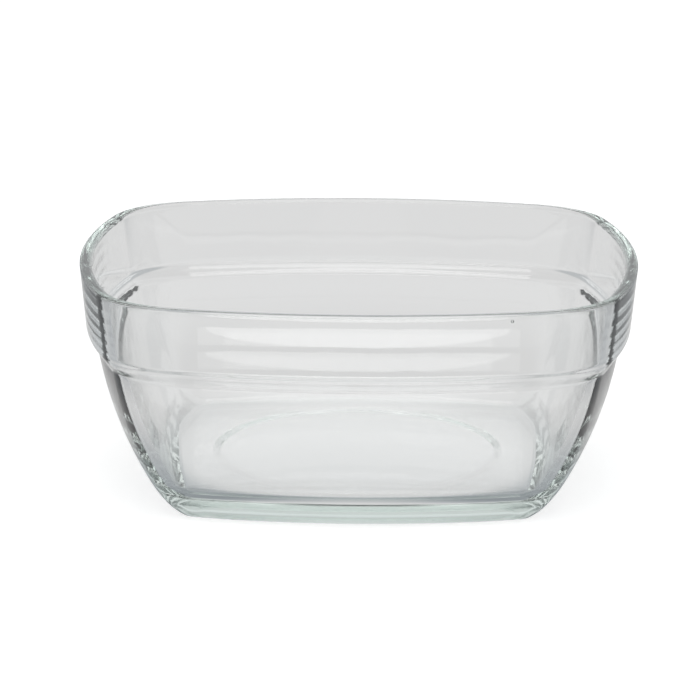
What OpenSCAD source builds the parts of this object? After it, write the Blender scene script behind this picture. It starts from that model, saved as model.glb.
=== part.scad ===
// A square pressed-glass bowl with a stacking collar.
// The bowl is one piece of clear glass. One wall section, drawn once, goes round a square
// plan whose four sides bulge slightly and run tangent into four round corners.
// Z is up, the origin is at the middle of the face that stands on the table.

/* [Rim] */
// Width of the rim across two opposite sides
rim_w = 140; // [110:1:200]
// Height of the bowl
bowl_h = 57.2; // [50:0.1:68]
// Radius of the slight bulge of each side, seen from above
side_bow_r = 173; // [120:1:400]
// Radius of the four corners at the rim, seen from above
corner_r = 26.2; // [18:0.1:36]
// Thickness of the glass at the lip
lip_t = 3.1; // [2.6:0.1:5]
// Rounding of the outer edge of the lip
lip_outer_r = 0.9; // [0.4:0.1:1.2]
// Rounding of the inner edge of the lip
lip_inner_r = 1.3; // [0.4:0.1:1.3]

/* [Collar] */
// Height of the straight collar under the lip
collar_h = 15.9; // [10:0.1:22]
// How far the collar's outer face draws in over its height
collar_draft = 1.55; // [0.4:0.05:3]
// Thickness of the glass at the bottom of the collar
collar_t = 3.5; // [2.6:0.1:5]
// Height of the soft shoulder under the collar
shoulder_h = 4.4; // [2:0.1:8]
// How far the shoulder steps in, which is what the next bowl's rim bears on
shoulder_in = 2.7; // [1:0.1:4]
// How much higher the ledge inside lies than the shoulder outside
ledge_lift = 0.4; // [0:0.1:2.5]

/* [Wall] */
// Lean of the wall from upright, just under the shoulder, in degrees
wall_lean = 9.5; // [5:0.1:12]
// Radius of the wall's outward bow, from the shoulder down to the heel
wall_bow_r = 88; // [75:1:140]
// Thickness of the wall just under the shoulder
wall_t = 3.2; // [2.6:0.1:5]
// Extra lean of the inner face in degrees, which thickens the wall towards the heel
wall_taper = 2.6; // [0:0.1:3.5]

/* [Base] */
// Radius of the round heel between the wall and the foot
heel_r = 17.4; // [10:0.1:20]
// How far the heel's curve is cut off by the flat foot
heel_cut = 2.3; // [0.2:0.1:3]
// Radius of the curve between the inner wall and the floor
inner_heel_r = 8; // [4:0.5:14]
// Thickness of the base
base_t = 6.3; // [3.5:0.1:9]
// Narrowest width of the flat band that the bowl stands on, beside the round recess
foot_band_w = 11.3; // [5:0.1:16]
// Depth of the shallow round recess under the base
recess_depth = 0.4; // [0.2:0.1:1.2]
// Width of the sloped edge of the recess
recess_edge_w = 3; // [0.4:0.1:5]

/* [Hidden] */

$fn = 180;
// How far a cutting shape runs past what it cuts
overrun = 1;
// How far each sweep runs past its seams before it is trimmed, in degrees
seam_spread = 4;
// Two points of the section closer than this are one point
same_point = 0.001;
// How far the keys, which lie inside the glass, stay back from its faces
key_cover = 0.8;
// Thickness of the key that lies across each seam
key_t = 3;
// Steps along each curved stretch of the wall section
lip_steps = 3;
shoulder_steps = 6;
wall_steps = 7;
heel_steps = 5;

// The plan is eight tangent arcs. The side arcs have their centres behind the opposite
// side, the corner arcs theirs on the diagonals.
rim_half = rim_w / 2;
side_shift = rim_half - side_bow_r;
arc_gap = side_bow_r - corner_r;
corner_at = (side_shift + sqrt(2 * arc_gap * arc_gap - side_shift * side_shift)) / 2;
side_half_angle = atan2(corner_at, corner_at - side_shift);

// A side and a corner meet at a seam plane, which runs from the corner arc's centre
// straight out past the rim. Each is swept a little past the seam and trimmed there.
seam_end = [
    corner_at + rim_w * cos(side_half_angle),
    corner_at + rim_w * sin(side_half_angle)
];

// The section is drawn as [inset, height]: how far a point lies in from the rim's outer
// face, and how high it lies above the table.
collar_z = bowl_h - collar_h;
shoulder_z = collar_z - shoulder_h;
shoulder_inset = collar_draft + shoulder_in;

// The outer wall bows about bow_at, and the heel about heel_at, tangent to the wall.
bow_at = [shoulder_inset + wall_bow_r * cos(wall_lean), shoulder_z + wall_bow_r * sin(wall_lean)];
heel_z = heel_r - heel_cut;
heel_lean = asin((bow_at.y - heel_z) / (wall_bow_r - heel_r));
heel_at = [bow_at.x - (wall_bow_r - heel_r) * cos(heel_lean), heel_z];
foot_lean = asin(heel_z / heel_r);
foot_inset = heel_at.x - heel_r * cos(foot_lean);

// The inner wall follows the same way, one wall thickness further in.
ledge_top_z = collar_z + ledge_lift;
ledge_z = shoulder_z + ledge_lift;
ledge_inset = collar_draft + collar_t;
inner_inset = shoulder_inset + wall_t;
inner_bow_r = wall_bow_r - wall_t;
inner_lean = wall_lean + wall_taper;
inner_bow_at = [inner_inset + inner_bow_r * cos(inner_lean), ledge_z + inner_bow_r * sin(inner_lean)];
inner_heel_z = base_t + inner_heel_r;
inner_heel_lean = asin((inner_bow_at.y - inner_heel_z) / (inner_bow_r - inner_heel_r));
inner_heel_at = [
    inner_bow_at.x - (inner_bow_r - inner_heel_r) * cos(inner_heel_lean),
    inner_heel_z
];

// The round recess under the base
recess_r = rim_half - foot_inset - foot_band_w;

// Points of an arc that bulges outwards, given by how far the wall leans along it
function bow(at, r, from, to, steps) = [
    for (i = [0 : steps])
        let (lean = from + (to - from) * i / steps)
        [at.x - r * cos(lean), at.y - r * sin(lean)]
];

// Points of a soft step from one point of the section to another
function soft_step(from, to, steps) = [
    for (i = [0 : steps])
        let (t = i / steps, ease = t * t * (3 - 2 * t))
        [from.x + (to.x - from.x) * ease, from.y + (to.y - from.y) * t]
];

// A list of points in which a point that two stretches share is kept once
function single(points) = [
    for (i = [0 : len(points) - 1])
        if (i == 0 || norm(points[i] - points[i - 1]) > same_point)
            points[i]
];

outer_face = concat(
    bow(heel_at, heel_r, foot_lean, heel_lean, heel_steps),
    bow(bow_at, wall_bow_r, heel_lean, wall_lean, wall_steps),
    soft_step([shoulder_inset, shoulder_z], [collar_draft, collar_z], shoulder_steps)
);

lip = concat(
    bow([lip_outer_r, bowl_h - lip_outer_r], lip_outer_r, 0, -90, lip_steps),
    bow([lip_t - lip_inner_r, bowl_h - lip_inner_r], lip_inner_r, -90, -180, lip_steps)
);

inner_face = concat(
    soft_step([ledge_inset, ledge_top_z], [inner_inset, ledge_z], shoulder_steps),
    bow(inner_bow_at, inner_bow_r, inner_lean, inner_heel_lean, wall_steps),
    bow(inner_heel_at, inner_heel_r, inner_heel_lean, 90, heel_steps)
);

// From the middle of the foot out and up to the lip, and down inside to the floor
section_points = single(concat(
    [[rim_half, 0]],
    outer_face,
    lip,
    inner_face,
    [[rim_half, base_t]]
));

// The wall section, with its outermost point at the radius r of the arc that it goes round
module section(r) {
    translate([r, 0])
        polygon([for (p = section_points) [-p.x, p.y]]);
}

// An upright block over part of the plan, taller than the bowl
module upright(points) {
    translate([0, 0, -overrun])
        linear_extrude(bowl_h + 2 * overrun)
            polygon(points);
}

// The section carried round one bulged side. It ends at the seams with the two corners,
// and at the two diagonals where the base meets that of the next sides.
module side() {
    intersection() {
        translate([side_shift, 0, 0])
            rotate([0, 0, -side_half_angle - seam_spread])
                rotate_extrude(angle = 2 * (side_half_angle + seam_spread))
                    section(side_bow_r);
        upright([
            [0, 0],
            [corner_at, -corner_at],
            [seam_end.x, -seam_end.y],
            seam_end,
            [corner_at, corner_at]
        ]);
    }
}

// The middle of the wall's thickness, kept back from both faces, from heel to shoulder
wall_core = concat(
    bow(bow_at, wall_bow_r - key_cover, heel_lean, wall_lean, wall_steps),
    bow(inner_bow_at, inner_bow_r + key_cover, inner_lean, inner_heel_lean, wall_steps)
);

// Keys inside the glass: one across the seam of a side and a corner, and one where the four
// sides meet in the base. They let the parts of the sweep grow together at any size.
module seam_key() {
    translate([corner_at, corner_at, 0])
        rotate([90, 0, side_half_angle])
            linear_extrude(key_t, center = true)
                polygon([for (p = wall_core) [corner_r - p.x, p.y]]);
}

module base_key() {
    translate([0, 0, recess_depth + key_cover])
        cylinder(r = recess_r, h = base_t - recess_depth - 2 * key_cover);
}

// The section carried round one corner, as far in as the corner arc's own centre
module corner() {
    intersection() {
        translate([corner_at, corner_at, 0])
            rotate([0, 0, side_half_angle - seam_spread])
                rotate_extrude(angle = 90 - 2 * (side_half_angle - seam_spread))
                    intersection() {
                        section(corner_r);
                        translate([0, -overrun])
                            square([corner_r + overrun, bowl_h + 2 * overrun]);
                    }
        upright([
            [corner_at, corner_at],
            seam_end,
            [seam_end.x, seam_end.x],
            [seam_end.y, seam_end.x]
        ]);
    }
}

// The shallow recess that leaves a flat band to stand on
module recess() {
    rotate_extrude()
        polygon([
            [0, -overrun],
            [recess_r, -overrun],
            [recess_r, 0],
            [recess_r - recess_edge_w, recess_depth],
            [0, recess_depth]
        ]);
}

module bowl() {
    color([0.86, 0.91, 0.9, 0.45])
        difference() {
            union() {
                for (turn = [0 : 3])
                    rotate([0, 0, 90 * turn]) {
                        side();
                        corner();
                        seam_key();
                        mirror([1, -1, 0])
                            seam_key();
                    }
                base_key();
            }
            recess();
        }
}

bowl();
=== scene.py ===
import math

import bpy
from mathutils import Matrix, Vector


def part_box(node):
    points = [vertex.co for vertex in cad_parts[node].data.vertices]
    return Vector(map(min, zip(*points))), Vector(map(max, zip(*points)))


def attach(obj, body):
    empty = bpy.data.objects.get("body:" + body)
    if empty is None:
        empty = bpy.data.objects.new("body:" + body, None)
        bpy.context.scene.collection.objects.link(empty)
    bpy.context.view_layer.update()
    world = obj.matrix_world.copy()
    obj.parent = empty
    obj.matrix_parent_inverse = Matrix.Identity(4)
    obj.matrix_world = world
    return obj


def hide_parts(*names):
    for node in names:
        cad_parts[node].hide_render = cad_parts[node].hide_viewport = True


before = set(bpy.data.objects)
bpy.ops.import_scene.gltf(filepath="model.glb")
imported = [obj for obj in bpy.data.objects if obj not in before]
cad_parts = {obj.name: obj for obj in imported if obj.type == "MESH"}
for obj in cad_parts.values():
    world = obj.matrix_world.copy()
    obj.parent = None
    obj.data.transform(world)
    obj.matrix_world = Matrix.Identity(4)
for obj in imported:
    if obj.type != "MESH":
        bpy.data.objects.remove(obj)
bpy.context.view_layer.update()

mm = 0.001
low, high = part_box("bowl")
rim_half = (high.x - low.x) / 2
bowl_h = high.z

side_bow_r = 173 * mm
corner_r = 26.2 * mm
collar_z = bowl_h - 15.9 * mm
collar_draft = 1.55 * mm
collar_t = 3.5 * mm
lip_t = 3.1 * mm
lip_outer_r = 0.9 * mm
lip_inner_r = 1.3 * mm
shoulder_z = collar_z - 4.4 * mm
shoulder_in = 2.7 * mm
ledge_lift = 0.4 * mm
wall_lean = math.radians(9.5)
wall_bow_r = 88 * mm
wall_t = 3.2 * mm
wall_taper = math.radians(2.6)
heel_r = 17.4 * mm
heel_cut = 2.3 * mm
inner_heel_r = 8 * mm
base_t = 6.3 * mm
foot_edge_r = 0.6 * mm
foot_band_w = 11.3 * mm
recess_depth = 0.4 * mm
recess_edge_w = 3 * mm
foot_edge_steps = 3
foot_edge_angle = math.radians(35)
seed_r = 0.4 * mm
seed_at = (37 * mm, -64.4 * mm, 55.2 * mm)

# Steps along each stretch of the section, and round the plan
heel_steps, inner_heel_steps = 36, 30
bow_steps = 24
shoulder_steps, collar_steps = 12, 16
lip_edge_steps, lip_top_steps = 8, 2
side_steps, corner_steps = 32, 72
recess_steps = 8

# Points nearer than this are one point, and points this level lie in one ring
same_point = 0.01 * mm
same_level = 0.001 * mm
# How far the flat floor, the foot's band and the recess draw in before they are closed
floor_share, foot_share, recess_share = 0.99, 0.96, 0.98

# The plan's arcs: the side arcs' centres lie behind the opposite sides
side_shift = rim_half - side_bow_r
arc_gap = side_bow_r - corner_r
corner_at = (side_shift + math.sqrt(2 * arc_gap ** 2 - side_shift ** 2)) / 2
side_half_angle = math.atan2(corner_at, corner_at - side_shift)
corner_angle = math.pi / 2 - 2 * side_half_angle


def edit(piece):
    bpy.ops.object.select_all(action="DESELECT")
    piece.select_set(True)
    bpy.context.view_layer.objects.active = piece
    bpy.ops.object.mode_set(mode="EDIT")
    bpy.ops.mesh.select_all(action="DESELECT")


def select_edges(piece, test, more=False):
    """Selects the edges whose ends pass the test, and with more, keeps what is selected."""
    if not more:
        bpy.ops.mesh.select_all(action="DESELECT")
    bpy.ops.mesh.select_mode(type="EDGE")
    bpy.ops.object.mode_set(mode="OBJECT")
    points = piece.data.vertices
    for edge in piece.data.edges:
        if all(test(points[v].co) for v in edge.vertices):
            edge.select = True
    bpy.ops.object.mode_set(mode="EDIT")


def start_point(name, place):
    """A new mesh that is one point, from which a section is drawn."""
    bpy.ops.object.select_all(action="DESELECT")
    bpy.ops.mesh.primitive_plane_add(size=mm, location=place)
    piece = bpy.context.object
    piece.name = piece.data.name = name
    bpy.ops.object.transform_apply(location=True, rotation=True, scale=True)
    edit(piece)
    bpy.ops.mesh.select_all(action="SELECT")
    bpy.ops.mesh.merge(type="CENTER")
    return piece


def draw_arc(inset, z, lean, new_lean, steps):
    """Carries the selected point round [inset, z], from one lean of the face to another."""
    bpy.ops.mesh.spin(
        steps=steps, angle=lean - new_lean, center=(rim_half - inset, 0, z), axis=(0, 1, 0)
    )


def draw_to(here, there, steps, soft=False):
    """Carries the selected point from one [inset, z] to another, straight or in a soft S."""
    last = here
    for i in range(1, steps + 1):
        t = i / steps
        ease = t * t * (3 - 2 * t) if soft else t
        to = (here[0] + (there[0] - here[0]) * ease, here[1] + (there[1] - here[1]) * t)
        bpy.ops.mesh.extrude_region_move(
            TRANSFORM_OT_translate={"value": (last[0] - to[0], 0, to[1] - last[1])}
        )
        last = to


# The outer face bows about bow_at and its heel about heel_at, and the inner face likewise
shoulder_inset = collar_draft + shoulder_in
bow_at = (
    shoulder_inset + wall_bow_r * math.cos(wall_lean),
    shoulder_z + wall_bow_r * math.sin(wall_lean),
)
heel_z = heel_r - heel_cut
heel_lean = math.asin((bow_at[1] - heel_z) / (wall_bow_r - heel_r))
heel_at = (bow_at[0] - (wall_bow_r - heel_r) * math.cos(heel_lean), heel_z)
foot_lean = math.asin(heel_z / heel_r)
foot_inset = heel_at[0] - heel_r * math.cos(foot_lean)

ledge_top = (collar_draft + collar_t, collar_z + ledge_lift)
ledge = (shoulder_inset + wall_t, shoulder_z + ledge_lift)
inner_bow_r = wall_bow_r - wall_t
inner_lean = wall_lean + wall_taper
inner_bow_at = (
    ledge[0] + inner_bow_r * math.cos(inner_lean),
    ledge[1] + inner_bow_r * math.sin(inner_lean),
)
inner_heel_z = base_t + inner_heel_r
inner_gap = inner_bow_r - inner_heel_r
inner_heel_lean = math.asin((inner_bow_at[1] - inner_heel_z) / inner_gap)
inner_heel_at = (
    inner_bow_at[0] - inner_gap * math.cos(inner_heel_lean),
    inner_heel_z,
)

# The section, from the foot's edge up the outer face, over the lip and down to the floor
bowl = start_point("bowl_glass", (rim_half - foot_inset, 0, 0))
draw_arc(*heel_at, foot_lean, heel_lean, heel_steps)
draw_arc(*bow_at, heel_lean, wall_lean, bow_steps)
draw_to((shoulder_inset, shoulder_z), (collar_draft, collar_z), shoulder_steps, soft=True)
draw_to((collar_draft, collar_z), (0, bowl_h - lip_outer_r), collar_steps)
draw_arc(lip_outer_r, bowl_h - lip_outer_r, 0, -math.pi / 2, lip_edge_steps)
draw_to((lip_outer_r, bowl_h), (lip_t - lip_inner_r, bowl_h), lip_top_steps)
draw_arc(
    lip_t - lip_inner_r, bowl_h - lip_inner_r, -math.pi / 2, -math.pi, lip_edge_steps
)
draw_to((lip_t, bowl_h - lip_inner_r), ledge_top, collar_steps)
draw_to(ledge_top, ledge, shoulder_steps, soft=True)
draw_arc(*inner_bow_at, inner_lean, inner_heel_lean, bow_steps)
draw_arc(*inner_heel_at, inner_heel_lean, math.pi / 2, inner_heel_steps)

# The section carried round the plan: half a side, then corners and sides in turn
bpy.ops.mesh.select_all(action="SELECT")


def carry_round(centre, angle, steps):
    bpy.ops.mesh.spin(steps=steps, angle=angle, center=(*centre, 0), axis=(0, 0, -1))


carry_round((side_shift, 0), side_half_angle, side_steps // 2)
for turn in range(4):
    quarter = Matrix.Rotation(turn * math.pi / 2, 2)
    carry_round(quarter @ Vector((corner_at, corner_at)), corner_angle, corner_steps)
    last = turn == 3
    carry_round(
        quarter @ Vector((0, side_shift)),
        side_half_angle if last else 2 * side_half_angle,
        side_steps // 2 if last else side_steps,
    )
bpy.ops.mesh.select_all(action="SELECT")
bpy.ops.mesh.remove_doubles(threshold=same_point)

# The floor, closed flat
select_edges(bowl, lambda p: abs(p.z - base_t) < same_level)
bpy.ops.mesh.extrude_edges_move()
bpy.ops.transform.resize(value=(floor_share, floor_share, 1), center_override=(0, 0, base_t))
bpy.ops.mesh.edge_face_add()

# The foot: a flat band, and inside it a shallow round recess with a soft edge
recess_r = rim_half - foot_inset - foot_band_w
bpy.ops.mesh.primitive_circle_add(vertices=4 * (side_steps + corner_steps), radius=recess_r)
select_edges(bowl, lambda p: abs(p.z) < same_point and p.xy.length > recess_r + mm)
bpy.ops.mesh.extrude_edges_move()
bpy.ops.transform.resize(value=(foot_share, foot_share, 1), center_override=(0, 0, 0))
select_edges(bowl, lambda p: abs(p.z) < same_point and p.xy.length < recess_r + mm, more=True)
bpy.ops.mesh.bridge_edge_loops()
select_edges(bowl, lambda p: abs(p.z) < same_point and p.xy.length < recess_r + mm)
r, z = recess_r, 0
for i in range(1, recess_steps + 1):
    t = i / recess_steps
    new_r, new_z = recess_r - recess_edge_w * t, recess_depth * t * t * (3 - 2 * t)
    bpy.ops.mesh.extrude_edges_move(TRANSFORM_OT_translate={"value": (0, 0, new_z - z)})
    bpy.ops.transform.resize(value=(new_r / r, new_r / r, 1), center_override=(0, 0, new_z))
    r, z = new_r, new_z
bpy.ops.mesh.extrude_edges_move()
bpy.ops.transform.resize(value=(recess_share, recess_share, 1), center_override=(0, 0, z))
bpy.ops.mesh.edge_face_add()
bpy.ops.mesh.select_all(action="SELECT")
bpy.ops.mesh.normals_make_consistent(inside=False)

# The only sharp edge, where the heel meets the flat foot, is rounded a little
bpy.ops.mesh.select_all(action="DESELECT")
bpy.ops.mesh.edges_select_sharp(sharpness=foot_edge_angle)
bpy.ops.mesh.bevel(offset=foot_edge_r, segments=foot_edge_steps, affect="EDGES")

# A seed, one small bubble left in the glass under the lip
bpy.ops.mesh.primitive_uv_sphere_add(segments=24, ring_count=12, radius=seed_r, location=seed_at)
bpy.ops.mesh.flip_normals()
bpy.ops.object.mode_set(mode="OBJECT")
bpy.ops.object.shade_smooth()

# The glass: clear, faintly green in its depth, with the slight waves that pressing leaves
glass_roughness = 0.03
glass_ior = 1.52
green_tint = (0.83, 0.93, 0.88, 1)
tint_density = 7.5
wave_length = 14 * mm
wave_depth = 0.03 * mm
glass = bpy.data.materials.new("clear_glass")
glass.use_nodes = True
nodes, links = glass.node_tree.nodes, glass.node_tree.links
shader = nodes["Principled BSDF"]
shader.inputs["Base Color"].default_value = (1, 1, 1, 1)
shader.inputs["Roughness"].default_value = glass_roughness
shader.inputs["IOR"].default_value = glass_ior
shader.inputs["Transmission Weight"].default_value = 1
absorption = nodes.new("ShaderNodeVolumeAbsorption")
absorption.inputs["Color"].default_value = green_tint
absorption.inputs["Density"].default_value = tint_density
links.new(absorption.outputs["Volume"], nodes["Material Output"].inputs["Volume"])
wave_place = nodes.new("ShaderNodeTexCoord")
waves = nodes.new("ShaderNodeTexNoise")
waves.inputs["Scale"].default_value = 1 / wave_length
waves.inputs["Detail"].default_value = 1
bump = nodes.new("ShaderNodeBump")
bump.inputs["Strength"].default_value = 1
bump.inputs["Distance"].default_value = wave_depth
links.new(wave_place.outputs["Object"], waves.inputs["Vector"])
links.new(waves.outputs["Fac"], bump.inputs["Height"])
links.new(bump.outputs["Normal"], shader.inputs["Normal"])
bowl.data.materials.append(glass)

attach(bowl, "root")
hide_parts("bowl")

# The table: a wide sheet of white paper, plain white but for the bowl's soft shadow. Seen in
# the glass it is a pale grey painted glow, with painted light under the bowl and behind its
# foot, where the bowl gathers light, a painted shadow round the foot, and painted shade
# towards the sides, tinted bluish where the glow is darker.
paper_half = 3.0
paper_grey = (0.8, 0.8, 0.8, 1)
paper_roughness = 0.9
paper_gap = 0.1 * mm
seen_white = 0.6
seen_in_glass = 0.7
# Painted light under the bowl, as seen in the glass
lit_under = 0.08
lit_from = 25 * mm
lit_to = 50 * mm
# Painted shadow round the foot, as seen in the glass, deepest in front
shadow_dark = 0.42
shadow_in, shadow_mid, shadow_out = 42 * mm, 54 * mm, 95 * mm
shadow_front = -50 * mm
shadow_back = 60 * mm
# Painted pools of light behind the foot, near and far, standing in for light the bowl gathers
gathered = 0.17
gathered_from, gathered_to = 45 * mm, 72 * mm
far_gathered = 0.05
far_from, far_to = 120 * mm, 160 * mm
gathered_edge = 5 * mm
gathered_in, gathered_out = 15 * mm, 45 * mm
gathered_beside = 0.3
# Painted shade towards the sides, and the bluish tint of the darker painted glow
side_dark = 0.3
painted_shade_tint = (0.87, 0.96, 1.02, 1)
tint_below = 0.2
side_from, side_to = 85 * mm, 125 * mm
bpy.ops.object.select_all(action="DESELECT")
bpy.ops.mesh.primitive_plane_add(size=2 * paper_half, location=(0, 0, -paper_gap))
table = bpy.context.object
table.name = table.data.name = "table"
bpy.ops.object.transform_apply(location=True, rotation=True, scale=True)
paper = bpy.data.materials.new("white_paper")
paper.use_nodes = True
nodes, links = paper.node_tree.nodes, paper.node_tree.links
matte = nodes["Principled BSDF"]
matte.inputs["Base Color"].default_value = paper_grey
matte.inputs["Roughness"].default_value = paper_roughness
matte.inputs["Specular IOR Level"].default_value = 0
light_path = nodes.new("ShaderNodeLightPath")
lift = nodes.new("ShaderNodeEmission")
lift.inputs["Strength"].default_value = seen_white
add = nodes.new("ShaderNodeAddShader")
links.new(matte.outputs["BSDF"], add.inputs[0])
links.new(lift.outputs["Emission"], add.inputs[1])
to_camera = nodes.new("ShaderNodeMixShader")
links.new(light_path.outputs["Is Camera Ray"], to_camera.inputs["Fac"])
links.new(matte.outputs["BSDF"], to_camera.inputs[1])
links.new(add.outputs["Shader"], to_camera.inputs[2])


def math_node(operation, a, b=None):
    """Adds a sum of sockets or numbers to the material, and gives the socket of its result."""
    node = nodes.new("ShaderNodeMath")
    node.operation = operation
    for socket, value in zip(node.inputs, (a, b)):
        if isinstance(value, bpy.types.NodeSocket):
            links.new(value, socket)
        elif value is not None:
            socket.default_value = value
    return node.outputs["Value"]


def soft_between(value, start, end, to_start=0.0, to_end=1.0):
    """A soft ramp: to_start until the value is start, to_end once it is end."""
    node = nodes.new("ShaderNodeMapRange")
    node.interpolation_type = "SMOOTHSTEP"
    links.new(value, node.inputs["Value"])
    node.inputs["From Min"].default_value = start
    node.inputs["From Max"].default_value = end
    node.inputs["To Min"].default_value = to_start
    node.inputs["To Max"].default_value = to_end
    return node.outputs["Result"]


place = nodes.new("ShaderNodeTexCoord")
parts = nodes.new("ShaderNodeSeparateXYZ")
links.new(place.outputs["Object"], parts.inputs["Vector"])
across = math_node("ABSOLUTE", parts.outputs["X"])
from_middle = math_node(
    "SQRT",
    math_node(
        "ADD",
        math_node("MULTIPLY", parts.outputs["X"], parts.outputs["X"]),
        math_node("MULTIPLY", parts.outputs["Y"], parts.outputs["Y"]),
    ),
)
# Painted shadow round the foot, fading towards the back
painted_foot_shadow = math_node(
    "MULTIPLY",
    math_node(
        "MULTIPLY",
        soft_between(from_middle, shadow_in, shadow_mid),
        soft_between(from_middle, shadow_mid, shadow_out, shadow_dark, 0),
    ),
    soft_between(parts.outputs["Y"], shadow_front, shadow_back, 1, 0),
)
# Painted shade towards the sides
painted_side_shade = soft_between(across, side_from, side_to, 1, 1 - side_dark)
# Painted light under the bowl
painted_light_under = soft_between(from_middle, lit_from, lit_to, lit_under, 0)
# Painted pools of light behind the foot, fainter beside the middle
painted_near_pool = math_node(
    "MULTIPLY",
    soft_between(parts.outputs["Y"], gathered_from - gathered_edge, gathered_from, 0, gathered),
    soft_between(parts.outputs["Y"], gathered_to, gathered_to + gathered_edge, 1, 0),
)
painted_far_pool = math_node(
    "MULTIPLY",
    soft_between(parts.outputs["Y"], far_from - gathered_edge, far_from, 0, far_gathered),
    soft_between(parts.outputs["Y"], far_to, far_to + gathered_edge, 1, 0),
)
painted_light_behind = math_node(
    "MULTIPLY",
    math_node("ADD", painted_near_pool, painted_far_pool),
    soft_between(across, gathered_in, gathered_out, 1, gathered_beside),
)
painted_light_gained = math_node("ADD", painted_light_under, painted_light_behind)
level = math_node("ADD", math_node("SUBTRACT", seen_in_glass, painted_foot_shadow), painted_light_gained)
brightness = math_node("MULTIPLY", level, painted_side_shade)
# Painted shade tint: bluish where the painted glow is dim
painted_shade_tint_mix = nodes.new("ShaderNodeMix")
painted_shade_tint_mix.data_type = "RGBA"
painted_shade_tint_mix.inputs["A"].default_value = painted_shade_tint
painted_shade_tint_mix.inputs["B"].default_value = (1, 1, 1, 1)
links.new(soft_between(brightness, tint_below, seen_in_glass), painted_shade_tint_mix.inputs["Factor"])
# The painted glow that the glass sees in place of the paper: its strength and colour carry the
# painted light and shade above
painted_glow = nodes.new("ShaderNodeEmission")
links.new(painted_shade_tint_mix.outputs["Result"], painted_glow.inputs["Color"])
links.new(brightness, painted_glow.inputs["Strength"])
glass_ray = math_node(
    "MAXIMUM", light_path.outputs["Is Transmission Ray"], light_path.outputs["Is Glossy Ray"]
)
to_glass = nodes.new("ShaderNodeMixShader")
links.new(glass_ray, to_glass.inputs["Fac"])
links.new(to_camera.outputs["Shader"], to_glass.inputs[1])
links.new(painted_glow.outputs["Emission"], to_glass.inputs[2])
links.new(to_glass.outputs["Shader"], nodes["Material Output"].inputs["Surface"])
table.data.materials.append(paper)

# The studio: a dim room with light low down all round, soft boxes low and high over the
# camera, and a fainter one behind the bowl that reaches overhead.
low_front = 1.2
low_back = 0.82
low_until, low_gone = 0.25, 0.5
towards_front, towards_back = -0.5, 0.7
room = 0.28
overhead = 0.75
overhead_from, overhead_full = 0.85, 0.98
sky_tint = (0.97, 0.99, 1, 1)
world = bpy.data.worlds.new("studio")
bpy.context.scene.world = world
world.use_nodes = True
nodes, links = world.node_tree.nodes, world.node_tree.links
sky = nodes["Background"]
sky.inputs["Color"].default_value = sky_tint
towards = nodes.new("ShaderNodeTexCoord")
parts = nodes.new("ShaderNodeSeparateXYZ")
links.new(towards.outputs["Generated"], parts.inputs["Vector"])
rise = parts.outputs["Z"]
low_down = math_node(
    "MULTIPLY",
    soft_between(rise, low_until, low_gone, 1, 0),
    soft_between(
        parts.outputs["Y"], towards_front, towards_back, low_front - room, low_back - room
    ),
)
high_up = soft_between(rise, overhead_from, overhead_full, 0, overhead - room)
lit = math_node("ADD", math_node("ADD", low_down, high_up), room)
links.new(lit, sky.inputs["Strength"])
white = nodes.new("ShaderNodeBackground")
light_path = nodes.new("ShaderNodeLightPath")
mix = nodes.new("ShaderNodeMixShader")
links.new(light_path.outputs["Is Camera Ray"], mix.inputs["Fac"])
links.new(sky.outputs["Background"], mix.inputs[1])
links.new(white.outputs["Background"], mix.inputs[2])
links.new(mix.outputs["Shader"], nodes["World Output"].inputs["Surface"])


def soft_box(name, direction, elevation, away, width, height, luminance):
    """A lamp aimed at the bowl. Direction is round from the camera's side, in degrees."""
    lamp = bpy.data.lights.new(name, "AREA")
    lamp.shape = "RECTANGLE"
    lamp.size, lamp.size_y = width, height
    lamp.energy = luminance * math.pi * width * height
    box = bpy.data.objects.new(name, lamp)
    bpy.context.scene.collection.objects.link(box)
    d, e = math.radians(direction), math.radians(elevation)
    out = Vector((math.sin(d) * math.cos(e), -math.cos(d) * math.cos(e), math.sin(e)))
    facing = out.to_track_quat("Z", "Y").to_matrix().to_4x4()
    box.matrix_world = Matrix.Translation(out * away) @ facing
    box.visible_camera = False


# The low front lamp is two boxes, the wider one behind, so that its ends fade in two steps
soft_box(
    "front_soft_box", direction=0, elevation=36.2, away=1.8, width=1.36, height=0.2, luminance=1.0
)
soft_box(
    "front_soft_box_edge",
    direction=0, elevation=36.2, away=1.82, width=1.74, height=0.2, luminance=1.0
)
soft_box(
    "upper_soft_box", direction=0, elevation=60, away=1.8, width=1.6, height=0.5, luminance=2.2
)
soft_box(
    "back_soft_box", direction=180, elevation=48, away=1.8, width=1.3, height=1.4, luminance=0.42
)

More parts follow.
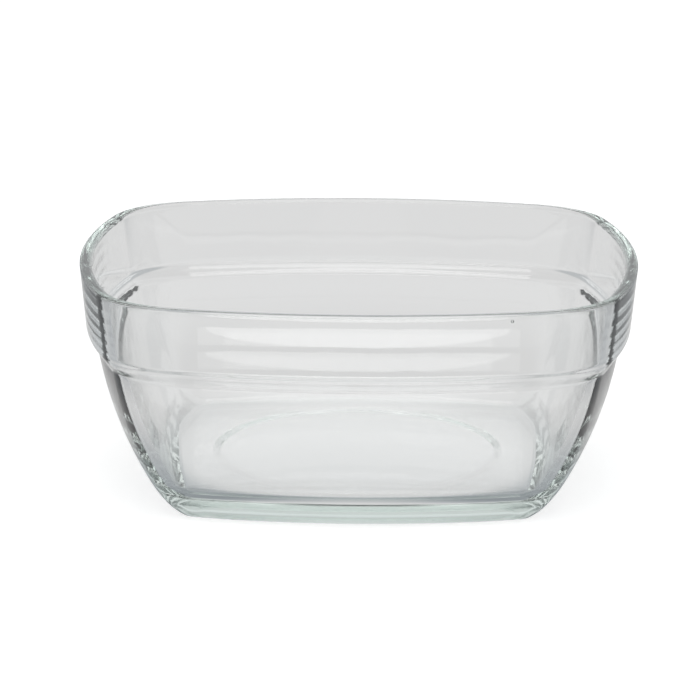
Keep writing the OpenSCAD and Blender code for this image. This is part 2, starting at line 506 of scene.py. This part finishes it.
# The arch lamp: a wide, low arch of lit cloth over the camera, straight along its lower edge,
# which gives the bright blade in the collar.
arch_level = 3.2
arch_away = 1.8
arch_from, arch_to = math.radians(33), math.radians(39.5)
arch_half = 0.8
bpy.ops.object.select_all(action="DESELECT")
bpy.ops.mesh.primitive_circle_add(vertices=96, radius=1, fill_type="NGON")
arch = bpy.context.object
arch.name = arch.data.name = "front_arch_lamp"
edit(arch)
bpy.ops.mesh.select_all(action="SELECT")
bpy.ops.mesh.bisect(plane_co=(0, 0, 0), plane_no=(0, 1, 0), clear_inner=True, use_fill=False)
bpy.ops.mesh.select_all(action="SELECT")
bpy.ops.transform.resize(
    value=(arch_half, arch_away * math.tan(arch_to - arch_from), 1), center_override=(0, 0, 0)
)
bpy.ops.object.mode_set(mode="OBJECT")
out = Vector((0, -math.cos(arch_from), math.sin(arch_from)))
facing = out.to_track_quat("Z", "Y").to_matrix().to_4x4()
arch.matrix_world = Matrix.Translation(out * arch_away) @ facing
bpy.ops.object.transform_apply(location=True, rotation=True, scale=True)
arch.visible_camera = False
arch.visible_shadow = False
cloth = bpy.data.materials.new("lit_cloth")
cloth.use_nodes = True
nodes, links = cloth.node_tree.nodes, cloth.node_tree.links
nodes.remove(nodes["Principled BSDF"])
glow = nodes.new("ShaderNodeEmission")
glow.inputs["Strength"].default_value = arch_level
links.new(glow.outputs["Emission"], nodes["Material Output"].inputs["Surface"])
arch.data.materials.append(cloth)

# The camera: low before the bowl and far off, with a long lens. Its place, turn and lens
# were worked out from the bowl's outline, and the shifts put the bowl where it stands.
camera_data = bpy.data.cameras.new("camera")
camera = bpy.data.objects.new("camera", camera_data)
bpy.context.scene.collection.objects.link(camera)
bpy.context.scene.camera = camera
rim_w = 2 * rim_half
elevation = 0.2359
azimuth = 0.0028
roll = 0.0073
distance = 10 * rim_w
aim = Vector((0, 0, 0.2 * rim_w))
frame_px = 700
lens_px = 5544.2
shift_x_px, shift_y_px = -8.18, 17.04
camera_data.sensor_width = 36
camera_data.lens = lens_px * camera_data.sensor_width / frame_px
camera_data.shift_x = shift_x_px / frame_px
camera_data.shift_y = shift_y_px / frame_px
back = Vector((
    math.sin(azimuth) * math.cos(elevation),
    -math.cos(azimuth) * math.cos(elevation),
    math.sin(elevation),
))
right = Vector((math.cos(azimuth), math.sin(azimuth), 0))
up = back.cross(right)
turned_right = right * math.cos(roll) + up * math.sin(roll)
turned_up = up * math.cos(roll) - right * math.sin(roll)
turned = Matrix((turned_right, turned_up, back)).transposed().to_4x4()
camera.matrix_world = Matrix.Translation(aim + back * distance) @ turned
camera_data.clip_start = 0.05
camera_data.clip_end = 20

scene = bpy.context.scene
scene.view_settings.view_transform = "Standard"
scene.cycles.max_bounces = 24
scene.cycles.transmission_bounces = 24
scene.cycles.glossy_bounces = 16
